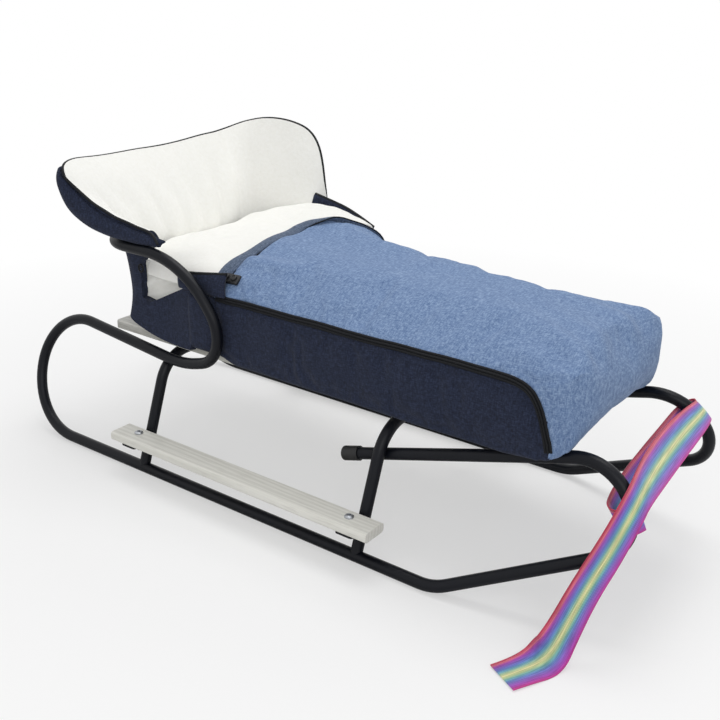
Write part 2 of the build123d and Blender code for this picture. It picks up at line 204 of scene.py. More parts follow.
for number, (bolt_x, bolt_y) in enumerate(bolt_places, 1):
    bpy.ops.object.select_all(action="DESELECT")
    bpy.ops.mesh.primitive_cylinder_add(vertices=32, radius=head_radius, depth=head_rim)
    bolt = bpy.context.object
    bolt.name = f"board_bolt_{number}"
    select_faces(bolt, lambda face: face.normal.z > 0.9)
    for narrower, rise in dome_steps:
        bpy.ops.mesh.inset(thickness=narrower)
        bpy.ops.transform.translate(value=(0, 0, rise))
    bpy.ops.mesh.inset(thickness=0.0003)
    bpy.ops.transform.translate(value=(0, 0, -socket_depth))
    bpy.ops.object.mode_set(mode="OBJECT")
    for vertex in bolt.data.vertices:
        vertex.co += Vector((bolt_x, bolt_y, board_top + head_rim / 2))
    bpy.ops.object.shade_smooth_by_angle(angle=radians(40))
    bpy.ops.object.select_all(action="DESELECT")
    bpy.ops.mesh.primitive_cylinder_add(vertices=6, radius=nut_radius, depth=nut_height)
    nut = bpy.context.object
    nut.name = f"board_nut_{number}"
    apply_modifier(nut, "BEVEL", width=0.0007, segments=2)
    select_faces(nut, lambda face: face.normal.z < -0.99)
    bpy.ops.mesh.inset(thickness=nut_radius - 0.0014 - thread_radius)
    bpy.ops.mesh.extrude_region_move(TRANSFORM_OT_translate={"value": (0, 0, -thread_over)})
    bpy.ops.mesh.inset(thickness=0.0007)
    bpy.ops.transform.translate(value=(0, 0, -0.0006))
    bpy.ops.object.mode_set(mode="OBJECT")
    for vertex in nut.data.vertices:
        vertex.co += Vector((bolt_x, bolt_y, bracket_low - nut_height / 2))
    bpy.ops.object.shade_smooth_by_angle(angle=radians(30))
    for piece in (bolt, nut):
        dress(piece, zinc)
        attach(piece, "root")

# Seat slats: planed boards of the same lacquered softwood, laid lengthwise on the two bows.
# They carry the muff, which hides most of them.
for name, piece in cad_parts.items():
    if name.startswith("seat_slat"):
        dress(piece, wood)

# Foot muff, base and cover: padded panels of melange polyester, lined with fleece. The
# dark base has the floor and the side walls, the pale cover the top and the foot end.
# They are sewn from flat panels, so the padding swells between the seams.
muff_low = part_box("muff_base")[0].z
zip_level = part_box("muff_base")[1].z
muff_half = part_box("muff_base")[1].y
cover_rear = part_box("muff_cover")[0].x
foot_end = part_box("muff_cover")[1].x
zip_corner = foot_end - 0.055
zip_foot = foot_end - 0.036
zip_round = 0.04
cloth_voxel = 0.006
seam_reach = 0.012


def solid_copy(name, *nodes):
    """A new piece with the merged meshes of these nodes."""
    bpy.ops.object.select_all(action="DESELECT")
    for node_name in nodes:
        part = bpy.data.objects.new(name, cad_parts[node_name].data.copy())
        bpy.context.scene.collection.objects.link(part)
        part.select_set(True)
        bpy.context.view_layer.objects.active = part
    bpy.ops.object.join()
    piece = bpy.context.object
    piece.name = name
    bpy.ops.object.mode_set(mode="EDIT")
    bpy.ops.mesh.select_all(action="SELECT")
    bpy.ops.mesh.remove_doubles(threshold=0.00002)
    bpy.ops.object.mode_set(mode="OBJECT")
    return piece


def smooth_step(value, low, high):
    """Runs softly from 0 at low to 1 at high."""
    share = min(max((value - low) / (high - low), 0), 1)
    return share * share * (3 - 2 * share)


def hump(value, middle, width):
    """A soft bump that is 1 at its middle."""
    return exp(-(((value - middle) / width) ** 2))


def zip_offset(x, z):
    """Distance above the zip's line, seen from the side, and below it if negative."""
    down_x = zip_corner + (zip_foot - zip_corner) * (zip_level - z) / (zip_level - muff_low)
    inner = Vector((x - (zip_corner - zip_round), z - (zip_level - zip_round)))
    if inner.x > 0 and inner.y > 0:
        return inner.length - zip_round
    return max(z - zip_level, x - down_x)


def muff_seams(point):
    """1 on the zip, the bottom seam and the collar, and 0 away from them."""
    on_side = smooth_step(abs(point.y), muff_half - 0.03, muff_half - 0.02)
    near_zip = 1 - smooth_step(abs(zip_offset(point.x, point.z)), 0.003, seam_reach)
    near_floor = 1 - smooth_step(point.z, muff_low + 0.004, muff_low + 0.016)
    near_collar = 1 - smooth_step(point.x, cover_rear + 0.004, cover_rear + 0.02)
    return max(on_side * near_zip, near_floor, near_collar)


def muff_reach(point):
    """How far the padding may swell: little beside the arms, more on the top."""
    return 0.003 + 0.005 * smooth_step(point.x, -0.07, 0.02) + 0.004 * smooth_step(point.z, 0.33, 0.36)


def swell(piece, seam_weight, reach, outwards, pressure, spare):
    """Draws a piece in between its seams and fills it again: cloth under pressure."""
    piece.data.update()
    normals = [vertex.normal.copy() for vertex in piece.data.vertices]
    for vertex, normal in zip(piece.data.vertices, normals):
        if normal.dot(outwards(vertex.co)) > 0:
            vertex.co -= normal * 0.6 * reach(vertex.co) * (1 - seam_weight(vertex.co))
    rest = [vertex.co.copy() for vertex in piece.data.vertices]
    group = piece.vertex_groups.new(name="seams")
    for vertex in piece.data.vertices:
        group.add([vertex.index], seam_weight(vertex.co), "REPLACE")
    cloth = piece.modifiers.new("padding", "CLOTH")
    cloth.settings.quality = 4
    cloth.settings.mass = 0.2
    cloth.settings.bending_stiffness = 0.6
    cloth.settings.tension_stiffness = 12
    cloth.settings.compression_stiffness = 12
    cloth.settings.shrink_min = -spare
    cloth.settings.use_pressure = True
    cloth.settings.uniform_pressure_force = pressure
    cloth.settings.vertex_group_mass = group.name
    cloth.settings.effector_weights.gravity = 0
    cloth.collision_settings.use_collision = False
    for number in range(1, 17):
        bpy.context.scene.frame_set(number)
    bpy.context.view_layer.objects.active = piece
    bpy.ops.object.modifier_apply(modifier=cloth.name)
    bpy.context.scene.frame_set(1)
    for vertex, start in zip(piece.data.vertices, rest):
        moved = vertex.co - start
        limit = reach(start)
        if moved.length > limit:
            vertex.co = start + moved * (limit / moved.length)


def from_middle(point):
    """The way out of the muff at a place on it."""
    return Vector((0.3 * (point.x - 0.14), point.y, point.z - 0.28))


muff = solid_copy("muff_body", "muff_base", "muff_cover")
apply_modifier(muff, "REMESH", mode="VOXEL", voxel_size=cloth_voxel, use_smooth_shade=True)
apply_modifier(muff, "SMOOTH", factor=0.5, iterations=6)
swell(muff, muff_seams, muff_reach, from_middle, 4.0, 0.03)
apply_modifier(muff, "SUBSURF", levels=1, render_levels=1)

# The filled cover stands higher on its left, and highest at the collar's left corner. The
# corners of its foot end and the lower hem sag.
far_rise = 0.016
corner_rise = 0.013
corner_ahead = 0.022
collar_turn = 0.055
collar_slant = 0.08 / 0.119
foot_droop = 0.006
hem_droop = 0.009
cover_folds = [
    # a fold's two ends seen from above, its height and its half width, in millimetres
    ((448, -110), (330, -40), 5.0, 16.0),
    ((452, -60), (300, 20), 4.0, 20.0),
    ((450, 40), (340, 70), 4.5, 16.0),
    ((446, 105), (330, 100), 4.0, 16.0),
    ((430, -140), (300, -120), 3.5, 15.0),
    ((-112, -100), (-10, -86), 5.5, 17.0),
    ((-106, -134), (-30, -124), 4.0, 13.0),
    ((-140, -20), (60, -40), 3.0, 26.0),
    ((-120, 90), (40, 60), 3.5, 24.0),
    ((60, -130), (210, -90), 3.0, 22.0),
    ((120, 30), (260, 70), 2.5, 26.0),
]


def collar_x(y):
    """Where the cover's open end is, at a place across the muff."""
    slanted = collar_slant * max(y - collar_turn, 0)
    return cover_rear + slanted + corner_ahead * smooth_step(y, 0.05, 0.15)


def fold_height(x, y):
    """The folds of the cover's top at a place seen from above."""
    total = 0.0
    for start, end, height, width in cover_folds:
        a, b = Vector(start) / 1000, Vector(end) / 1000
        spot = Vector((x, y))
        share = min(max((spot - a).dot(b - a) / (b - a).length_squared, 0), 1)
        away = (spot - a - share * (b - a)).length
        fade = 1 - 0.8 * share
        total += height / 1000 * fade * exp(-((away * 1000 / width) ** 2))
        total -= 0.5 * height / 1000 * fade * exp(-(((away * 1000 - 1.6 * width) / width) ** 2))
    return total


muff.data.update()
muff_normals = [vertex.normal.copy() for vertex in muff.data.vertices]
for vertex, normal in zip(muff.data.vertices, muff_normals):
    x, y, z = vertex.co
    outside = smooth_step(normal.dot(from_middle(vertex.co)), 0, 0.02)
    top = smooth_step(z, 0.32, 0.35)
    away = zip_offset(x, z)
    on_side = smooth_step(abs(y), muff_half - 0.035, muff_half - 0.015)
    pucker = noise.noise(Vector((x / 0.034, z / 0.12, y))) * exp(-abs(away) / 0.03)
    seam_dip = hump(away, 0, 0.007) * on_side
    ripple = noise.noise(Vector((x / 0.11, y / 0.07, z / 0.07))) * 0.0022
    relief = top * fold_height(x, y) + on_side * 0.004 * pucker + ripple - 0.003 * seam_dip
    vertex.co += normal * outside * relief
    lifted = smooth_step(z, 0.3, 0.34)
    vertex.co.z += far_rise * lifted * smooth_step(y, -0.02, 0.12) * (1 - smooth_step(x, 0.05, 0.36))
    drooped = smooth_step(x, 0.37, 0.43) * smooth_step(abs(y), 0.09, 0.14) * (1 - smooth_step(z, 0.235, 0.3))
    vertex.co += Vector((0.004, 0.006 if y > 0 else -0.006, -foot_droop)) * drooped
    hem = smooth_step(x, -0.14, -0.1) * (1 - smooth_step(x, 0.36, 0.42)) * smooth_step(abs(y), 0.138, 0.15)
    vertex.co.z -= hem_droop * hem * (1 - smooth_step(z, muff_low + 0.012, muff_low + 0.07))
    vertex.co.x += corner_ahead * lifted * smooth_step(y, 0.05, 0.15) * (1 - smooth_step(x, -0.1, 0.12))
    at_collar = 1 - smooth_step(vertex.co.x - collar_x(y), 0.008, 0.045)
    vertex.co.z += corner_rise * lifted * smooth_step(y, 0.03, 0.11) * at_collar

# The zip's line parts the cover from the base.
bpy.ops.object.select_all(action="DESELECT")
muff.select_set(True)
bpy.context.view_layer.objects.active = muff
for face in muff.data.polygons:
    face.select = zip_offset(face.center.x, face.center.z) < 0
bpy.ops.object.mode_set(mode="EDIT")
bpy.ops.mesh.select_mode(type="FACE")
bpy.ops.mesh.separate(type="SELECTED")
bpy.ops.object.mode_set(mode="OBJECT")
cover = muff
cover.name = "muff_top_cover"
base = [piece for piece in bpy.context.selected_objects if piece != muff][0]
base.name = "muff_side_and_floor"

yarn_length = 0.0065
yarn_width = 0.0015


def melange(name, dark, mid, light):
    """Melange canvas: two yarns of unlike blues, plainly woven, drawn coarser than the real
    0.5 mm yarn so that its flecks still show at arm's length."""
    material, tree, shader = new_material(name)
    place = add_node(tree, "ShaderNodeTexCoord").outputs["Object"]
    long, short = 1 / yarn_length, 1 / yarn_width
    warp_map = add_node(tree, "ShaderNodeMapping", {"Scale": (long, short, short)}, {"Vector": place})
    weft_map = add_node(tree, "ShaderNodeMapping", {"Scale": (short, long, long)}, {"Vector": place})
    warp = add_node(tree, "ShaderNodeTexNoise", {"Scale": 1.0, "Detail": 2.0}, {"Vector": warp_map.outputs[0]})
    weft = add_node(tree, "ShaderNodeTexNoise", {"Scale": 1.0, "Detail": 2.0}, {"Vector": weft_map.outputs[0]})
    cross = add_node(tree, "ShaderNodeMath", {"operation": "ADD"}, {0: warp.outputs["Fac"], 1: weft.outputs["Fac"]})
    fleck = add_node(tree, "ShaderNodeMapRange", {"From Min": 0.72, "From Max": 1.28}, {"Value": cross.outputs[0]})
    colours = add_node(tree, "ShaderNodeValToRGB", (), {"Fac": fleck.outputs[0]})
    colours.color_ramp.elements[0].color = linear(dark)
    colours.color_ramp.elements[1].color = linear(light)
    colours.color_ramp.elements.new(0.5).color = linear(mid)
    bumps = add_node(tree, "ShaderNodeBump", {"Strength": 0.35, "Distance": 0.0006}, {"Height": cross.outputs[0]})
    tree.links.new(colours.outputs["Color"], shader.inputs["Base Color"])
    tree.links.new(bumps.outputs["Normal"], shader.inputs["Normal"])
    shader.inputs["Roughness"].default_value = 0.85
    shader.inputs["Specular IOR Level"].default_value = 0.25
    shader.inputs["Sheen Weight"].default_value = 0.06
    return material


pale_canvas = melange("blue_melange_canvas", "#5b739a", "#7189ae", "#8ea4c4")
dark_canvas = melange("navy_melange_canvas", "#141929", "#1e2539", "#2c344b")

# Fleece: brushed polyester pile, white, with painted shade in its hollows: a faint darker cream where the pile
# dips.
fleece_white = "#fbfbf8"
fleece_hollow_painted_shade = "#efeee7"
tuft_size = 0.006
fleece, tree, shader = new_material("brushed_polyester_fleece")
place = add_node(tree, "ShaderNodeTexCoord").outputs["Object"]
tuft_noise = {"Scale": 1 / tuft_size, "Detail": 5.0, "Roughness": 0.65}
tufts = add_node(tree, "ShaderNodeTexNoise", tuft_noise, {"Vector": place})
# painted shade: where the tufts' bump dips, the pile gets the darker cream tone
pile_tones = {"data_type": "RGBA", 6: linear(fleece_hollow_painted_shade), 7: linear(fleece_white)}
pile = add_node(tree, "ShaderNodeMix", pile_tones, {0: tufts.outputs["Fac"]})
fluff = add_node(tree, "ShaderNodeBump", {"Strength": 0.45, "Distance": 0.002}, {"Height": tufts.outputs["Fac"]})
tree.links.new(pile.outputs[2], shader.inputs["Base Color"])
tree.links.new(fluff.outputs["Normal"], shader.inputs["Normal"])
shader.inputs["Roughness"].default_value = 0.95
shader.inputs["Specular IOR Level"].default_value = 0.15
shader.inputs["Sheen Weight"].default_value = 0.4
shader.inputs["Sheen Roughness"].default_value = 0.6

for piece, canvas, node_name, slot_name in (
    (cover, pale_canvas, "muff_cover", "blue_cloth"),
    (base, dark_canvas, "muff_base", "navy_cloth"),
):
    dress(piece, canvas, fleece)
    for face in piece.data.polygons:
        outwards = face.center - Vector((min(max(face.center.x, -0.1), 0.35), 0, 0.285))
        face.material_index = 1 if face.normal.dot(outwards) < 0 else 0
        face.use_smooth = True
    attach(piece, "root")
    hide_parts(node_name)

# Zip: a black coil between two tapes, with a corded edge on each side. It runs along both
# sides at the top of the base and down the foot end, sewn between base and cover.
zip_start = cover_rear + 0.002
tape_half = 0.0038
cord_radius = 0.0018
coil_half = 0.0018


def on_skin(piece, x, z, side):
    """The place on a side of the muff at x and z, and the way its surface looks."""
    hit, spot, normal, face = piece.ray_cast(Vector((x, side * 0.4, z)), Vector((0, -side, 0)))
    return (spot, normal) if hit else None


def zip_path():
    """Points of the zip's line, seen from the side, every 6 mm."""
    step = 0.006
    x = zip_start
    while x < zip_corner - zip_round:
        yield x, zip_level
        x += step
    turns = 10
    for turn in range(turns + 1):
        angle = pi / 2 * (1 - turn / turns)
        yield zip_corner - zip_round + zip_round * cos(angle), zip_level - zip_round + zip_round * sin(angle)
    z = zip_level - zip_round - step
    while z > muff_low + 0.002:
        yield zip_corner + (zip_foot - zip_corner) * (zip_level - z) / (zip_level - muff_low), z
        z -= step


def averaged(values, reach):
    """Each value as the mean of its neighbours."""
    groups = [values[max(i - reach, 0) : i + reach + 1] for i in range(len(values))]
    return [sum(group, Vector()) / len(group) for group in groups]


def laid_strip(name, line, normals, profile):
    """A strip along a line, with its section given as places across it and above it."""
    bpy.ops.object.select_all(action="DESELECT")
    bpy.ops.mesh.primitive_grid_add(x_subdivisions=len(profile) - 1, y_subdivisions=len(line) - 1, size=1)
    piece = bpy.context.object
    piece.name = name
    for vertex in piece.data.vertices:
        column = round((vertex.co.x + 0.5) * (len(profile) - 1))
        row = round((vertex.co.y + 0.5) * (len(line) - 1))
        ahead = (line[min(row + 1, len(line) - 1)] - line[max(row - 1, 0)]).normalized()
        normal = (normals[row] - ahead * normals[row].dot(ahead)).normalized()
        across, above = profile[column]
        vertex.co = line[row] + ahead.cross(normal) * across + normal * above
    bpy.ops.object.mode_set(mode="EDIT")
    bpy.ops.mesh.select_all(action="SELECT")
    bpy.ops.mesh.remove_doubles(threshold=0.00001)
    bpy.ops.mesh.fill_holes(sides=0)
    bpy.ops.mesh.normals_make_consistent(inside=False)
    bpy.ops.object.mode_set(mode="OBJECT")
    bpy.ops.object.shade_smooth_by_angle(angle=radians(40))
    return piece


def round_section(across, above, radius, count=8):
    """A closed round section about a place across and above a strip's line."""
    turns = [2 * pi * index / count for index in range(count + 1)]
    return [(across + radius * cos(turn), above + radius * sin(turn)) for turn in turns]


# Zip tape: black nylon, closely woven and ribbed, with little shine.
zip_black = "#0a0b0e"
zip_grey = "#15171b"
tooth_pitch = 0.0024
zip_cloth, tree, shader = new_material("nylon_zip_tape")
place = add_node(tree, "ShaderNodeTexCoord").outputs["Object"]
weave = add_node(tree, "ShaderNodeTexNoise", {"Scale": 1 / tooth_pitch, "Detail": 2.0}, {"Vector": place})
tape_tones = {"data_type": "RGBA", 6: linear(zip_black), 7: linear(zip_grey)}
tone = add_node(tree, "ShaderNodeMix", tape_tones, {0: weave.outputs["Fac"]})
ribs = add_node(tree, "ShaderNodeBump", {"Strength": 0.5, "Distance": 0.0008}, {"Height": weave.outputs["Fac"]})
tree.links.new(tone.outputs[2], shader.inputs["Base Color"])
tree.links.new(ribs.outputs["Normal"], shader.inputs["Normal"])
shader.inputs["Roughness"].default_value = 0.6
shader.inputs["Specular IOR Level"].default_value = 0.2
muff_pair = (base, cover)
bpy.context.view_layer.update()
for side_name, side in (("left", 1), ("right", -1)):
    line, normals = [], []
    for x, z in zip_path():
        found = [on_skin(piece, x, z + shift, side) for piece, shift in ((base, -0.004), (cover, 0.004))]
        found = [spot for spot in found if spot]
        if found:
            line.append(sum((spot for spot, normal in found), Vector()) / len(found))
            normals.append(sum((normal for spot, normal in found), Vector()).normalized())
    faced = [normal.normalized() for normal in averaged(normals, 4)]
    drawn = []
    for spot, normal in zip(averaged(line, 3), faced):
        casts = [piece.ray_cast(spot + normal * 0.05, -normal) for piece in muff_pair]
        places = [found for hit, found, facing, face in casts if hit] + [spot]
        drawn.append(max(places, key=lambda point: (point - spot).dot(normal)))
    smoothed = averaged(drawn, 2)
    for part_name, section in (
        ("tape", [(-tape_half, 0.0), (-tape_half, 0.0022), (tape_half, 0.0022), (tape_half, 0.0)]),
        ("coil", round_section(0, 0.0024, coil_half)),
        ("upper_cord", round_section(-tape_half, 0.0016, cord_radius)),
        ("lower_cord", round_section(tape_half, 0.0016, cord_radius)),
    ):
        strip = laid_strip(f"zip_{part_name}_{side_name}", smoothed, faced, section)
        dress(strip, zip_cloth)
        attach(strip, "root")

# Collar: a band of slate canvas folded over the cover's open end and stitched down. The
# open end runs straight across and then slants forward on the left.
binding_canvas = melange("slate_binding_canvas", "#434f60", "#566378", "#6b788c")
collar_line, collar_faces = [], []
for turn in range(81):
    angle = radians(13 + 154 * turn / 80)
    outwards = Vector((0, -cos(angle), sin(angle)))
    y = -muff_half * cos(angle)
    for attempt in range(4):
        start = Vector((collar_x(y) + 0.01, 0, 0.29)) + outwards * 0.3
        hit, spot, normal, face = cover.ray_cast(start, -outwards)
        y = spot.y if hit else y
    if hit:
        collar_line.append(spot)
        collar_faces.append(normal)
collar_line = averaged(collar_line, 3)
collar_faces = [normal.normalized() for normal in averaged(collar_faces, 4)]
band_section = [
    # forward of the line and above the cover, in millimetres
    (-4, -18), (-7.5, -10), (-9, -2), (-7.5, 3), (-4, 5.4), (2, 6), (8, 5.2),
    (11.5, 3.2), (12.5, 0), (6, -1), (-1, -3), (-1, -18), (-4, -18),
]
band_profile = [(across / 1000, above / 1000) for across, above in band_section]
binding = laid_strip("collar_binding", collar_line, collar_faces, band_profile)
dress(binding, binding_canvas)
stitching = laid_strip("collar_stitching", collar_line, collar_faces, round_section(0.0128, 0.0008, 0.0012, 6))
dress(stitching, zip_cloth)
for piece in (binding, stitching):
    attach(piece, "root")

# Fleece flap: the cover's lining of soft fleece, turned back out of the collar. It is tucked
# under the collar's binding and laid against the hood.


def spline_points(name, points, resolution=12):
    """Points along a smooth spline that is led by these points."""
    line = bpy.data.curves.new(name, "CURVE")
    line.dimensions = "3D"
    line.resolution_u = resolution
    spline = line.splines.new("NURBS")
    spline.points.add(len(points) - 1)
    for knot, point in zip(spline.points, points):
        knot.co = (*point, 1)
    spline.order_u = 3
    spline.use_endpoint_u = True
    holder = bpy.data.objects.new(name, line)
    traced = bpy.data.meshes.new_from_object(holder)
    found = [vertex.co.copy() for vertex in traced.vertices]
    bpy.data.objects.remove(holder)
    return found


def led_lines(name, lines, resolution=12):
    """A spline for each list of points in millimetres."""
    return [spline_points(name, [Vector(point) / 1000 for point in line], resolution) for line in lines]


def skin_between(name, lines, rows):
    """A sheet through three lines of equally many points, from the first to the last."""
    columns = len(lines[0])
    bpy.ops.object.select_all(action="DESELECT")
    bpy.ops.mesh.primitive_grid_add(x_subdivisions=columns - 1, y_subdivisions=rows, size=1)
    piece = bpy.context.object
    piece.name = name
    for vertex in piece.data.vertices:
        column = round((vertex.co.x + 0.5) * (columns - 1))
        v = vertex.co.y + 0.5
        low, middle, high = (line[column] for line in lines)
        s = (middle - low).length / ((middle - low).length + (high - middle).length)
        from_low = low * (v - s) * (v - 1) / s
        from_middle_line = middle * v * (1 - v) / (s * (1 - s))
        vertex.co = from_low + from_middle_line + high * v * (v - s) / (1 - s)
    return piece


flap_lines = [
    # collar, middle and crease, each from the right to the left, in millimetres
    [
        (-140, -152, 322), (-136, -146, 347), (-135, -70, 360), (-135, 10, 367),
        (-134, 80, 371), (-90, 134, 388), (-62, 154, 372),
    ],
    [
        (-222, -150, 318), (-228, -144, 352), (-238, -66, 365), (-238, 10, 367),
        (-232, 80, 372), (-188, 138, 397), (-128, 156, 394),
    ],
    [
        (-300, -140, 316), (-308, -134, 346), (-332, -66, 351), (-336, 10, 346),
        (-330, 84, 346), (-290, 138, 374), (-196, 156, 396),
    ],
]
flap_thick = 0.01
flap = skin_between("fleece_flap", led_lines("flap_line", flap_lines), 30)
for vertex in flap.data.vertices:
    waves = 0.004 * noise.noise(vertex.co / 0.06) + 0.003 * noise.noise(vertex.co / 0.025)
    vertex.co.z += waves * smooth_step(vertex.co.y, -0.14, -0.1)
apply_modifier(flap, "SOLIDIFY", thickness=flap_thick, offset=0)
apply_modifier(flap, "SUBSURF", levels=1, render_levels=1)
bpy.ops.object.shade_smooth()
dress(flap, fleece)
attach(flap, "root")
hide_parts("muff_flap")

# Hood: one padded panel that goes round the rear and both sides of the muff, navy canvas
# outside and fleece inside. It stands inside the back rest, flares out above it, and has a
# slit on its right side where the zip ends.
hood_wall = 0.013
rim_cord_radius = 0.0022
hood_lines = [
    # foot, waist and rim, each from the right wing round the back to the left wing
    [
        (-197, -158, 214), (-258, -154, 212), (-324, -152, 226), (-347, -150, 238),
        (-348, -132, 239), (-340, -60, 232), (-338, 0, 231), (-338, 60, 231),
        (-335, 126, 231), (-318, 144, 228), (-258, 153, 212), (-186, 159, 214),
    ],
    [
        (-202, -159, 376), (-256, -159, 376), (-312, -160, 376), (-352, -159, 376),
        (-366, -142, 376), (-363, -75, 376), (-362, 0, 376), (-362, 75, 376),
        (-354, 146, 376), (-312, 159, 376), (-256, 160, 376), (-190, 161, 376),
    ],
    [
        (-240, -165, 385), (-300, -176, 394), (-358, -189, 415), (-404, -197, 446),
        (-434, -206, 484), (-446, -110, 477), (-438, -20, 479), (-424, 80, 487),
        (-408, 196, 503), (-318, 214, 530), (-204, 212, 503), (-196, 184, 402),
    ],
]
hood_edges = led_lines("hood_line", hood_lines)
hood_columns = len(hood_edges[0])
hood = skin_between("muff_hood_panel", hood_edges, 44)
hood_folds = [
    # place along the hood from the right to the left, height of the fold in mm, half width
    (0.36, 8.0, 0.018),
    (0.44, 6.5, 0.014),
    (0.50, 9.0, 0.016),
    (0.56, 8.0, 0.013),
    (0.63, 9.0, 0.018),
    (0.70, 7.0, 0.015),
]
hood.data.update()
for index, vertex in enumerate(hood.data.vertices):
    u = (index % hood_columns) / (hood_columns - 1)
    level = smooth_step(vertex.co.z, 0.33, 0.36) * (1 - smooth_step(vertex.co.z, 0.38, 0.47))
    lean = 0.1 * (vertex.co.z - 0.36)
    crease = sum(height / 1000 * hump(u, middle + lean, width) for middle, height, width in hood_folds)
    vertex.co += vertex.normal * (level * crease + 0.003 * noise.noise(vertex.co / 0.07))
hood.data.update()
rim_row = hood.data.vertices[-hood_columns:]
row_below = hood.data.vertices[-2 * hood_columns : -hood_columns]
rim_line = [vertex.co + vertex.normal * (hood_wall - rim_cord_radius) for vertex in rim_row]
rim_faces = [(vertex.co - below.co).normalized() for vertex, below in zip(rim_row, row_below)]
bpy.ops.object.mode_set(mode="EDIT")
bpy.ops.mesh.select_all(action="SELECT")
bpy.ops.mesh.flip_normals()
bpy.ops.object.mode_set(mode="OBJECT")
dress(hood, dark_canvas, fleece)
apply_modifier(hood, "SOLIDIFY", thickness=hood_wall, offset=-1, material_offset=1, material_offset_rim=0)
slit_corners = [
    # the slit's corners seen from the side, in millimetres
    (-312, 276), (-292, 272), (-206, 317), (-150, 317), (-150, 430),
    (-262, 430), (-264, 380), (-300, 352), (-312, 330),
]
bpy.ops.object.select_all(action="DESELECT")
bpy.ops.mesh.primitive_circle_add(vertices=len(slit_corners), radius=0.1, fill_type="NGON")
slit = bpy.context.object
for vertex, (x, z) in zip(slit.data.vertices, slit_corners):
    vertex.co = (x / 1000, -0.24, z / 1000)
bpy.ops.object.mode_set(mode="EDIT")
bpy.ops.mesh.select_all(action="SELECT")
bpy.ops.mesh.extrude_region_move(TRANSFORM_OT_translate={"value": (0, 0.14, 0)})
bpy.ops.mesh.select_all(action="SELECT")
bpy.ops.mesh.normals_make_consistent(inside=False)
bpy.ops.object.mode_set(mode="OBJECT")
apply_modifier(hood, "BOOLEAN", operation="DIFFERENCE", object=slit, solver="EXACT")
bpy.data.objects.remove(slit)
bpy.ops.object.select_all(action="DESELECT")
hood.select_set(True)
bpy.context.view_layer.objects.active = hood
bpy.ops.object.shade_smooth_by_angle(angle=radians(50))
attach(hood, "root")
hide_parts("muff_hood")

# Hood trim: the hem of the right wing is turned out as a navy cuff, and a thin black cord is
# sewn along the whole rim.
cuff_lines = [
    # edge, outside and lower hem, from the front of the right wing to the back
    [
        (-232, -164, 389), (-296, -175, 397), (-356, -188, 418), (-402, -198, 449),
        (-430, -206, 483), (-438, -180, 481), (-442, -130, 478),
    ],
    [
        (-236, -170, 385), (-300, -182, 388), (-358, -196, 403), (-404, -205, 430),
        (-430, -210, 466), (-442, -186, 468), (-450, -130, 466),
    ],
    [
        (-240, -168, 380), (-304, -180, 378), (-362, -192, 387), (-408, -202, 412),
        (-427, -205, 446), (-440, -184, 452), (-448, -130, 452),
    ],
]
cuff = skin_between("hood_cuff", led_lines("cuff_line", cuff_lines), 10)
for vertex in cuff.data.vertices:
    vertex.co.z += 0.002 * noise.noise(vertex.co / 0.04)
apply_modifier(cuff, "SOLIDIFY", thickness=0.005, offset=0)
apply_modifier(cuff, "SUBSURF", levels=1, render_levels=1)
bpy.ops.object.shade_smooth()
dress(cuff, dark_canvas)
rim_cord = laid_strip("hood_rim_cord", rim_line, rim_faces, round_section(0, 0.0012, rim_cord_radius))
dress(rim_cord, zip_cloth)
for piece in (cuff, rim_cord):
    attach(piece, "root")

# Slit lining: the fleece inside the right wing, which shows in folds through the slit, and a
# black cord eyelet at the slit's upper corner.
lining_lines = [
    # lower, middle and upper line, from the rear to the front
    [(-326, -134, 258), (-290, -130, 262), (-250, -126, 274), (-205, -138, 298)],
    [(-326, -128, 302), (-290, -118, 304), (-250, -114, 308), (-202, -130, 318)],
    [(-326, -136, 340), (-290, -130, 339), (-250, -124, 338), (-205, -132, 334)],
]
lining_folds = [
    # slope of the fold towards the front, its height above the ground at x -0.26, half width
    (0.3, 0.292, 0.008),
    (0.5, 0.322, 0.009),
]
lining = skin_between("slit_lining", led_lines("lining_line", lining_lines, 16), 30)
for vertex in lining.data.vertices:
    x, y, z = vertex.co
    fold = sum(hump(z - slope * (x + 0.26), height, width) for slope, height, width in lining_folds)
    vertex.co.y -= 0.006 * fold + 0.004 * noise.noise(vertex.co / 0.03)
apply_modifier(lining, "SOLIDIFY", thickness=0.008, offset=0)
bpy.ops.object.shade_smooth()
dress(lining, fleece)
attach(lining, "root")
eyelet_place = Vector((-0.297, -0.161, 0.332))
eyelet_radius = 0.006
eyelet_cord = 0.0017
bpy.ops.object.select_all(action="DESELECT")
bpy.ops.mesh.primitive_torus_add(
    major_radius=eyelet_radius, minor_radius=eyelet_cord, major_segments=32, minor_segments=12
)
eyelet = bpy.context.object
eyelet.name = "cord_eyelet"
for vertex in eyelet.data.vertices:
    x, y, z = vertex.co
    vertex.co = eyelet_place + Vector((0.8 * x, -z, y))
bpy.ops.object.shade_smooth()
dress(eyelet, zip_cloth)
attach(eyelet, "root")

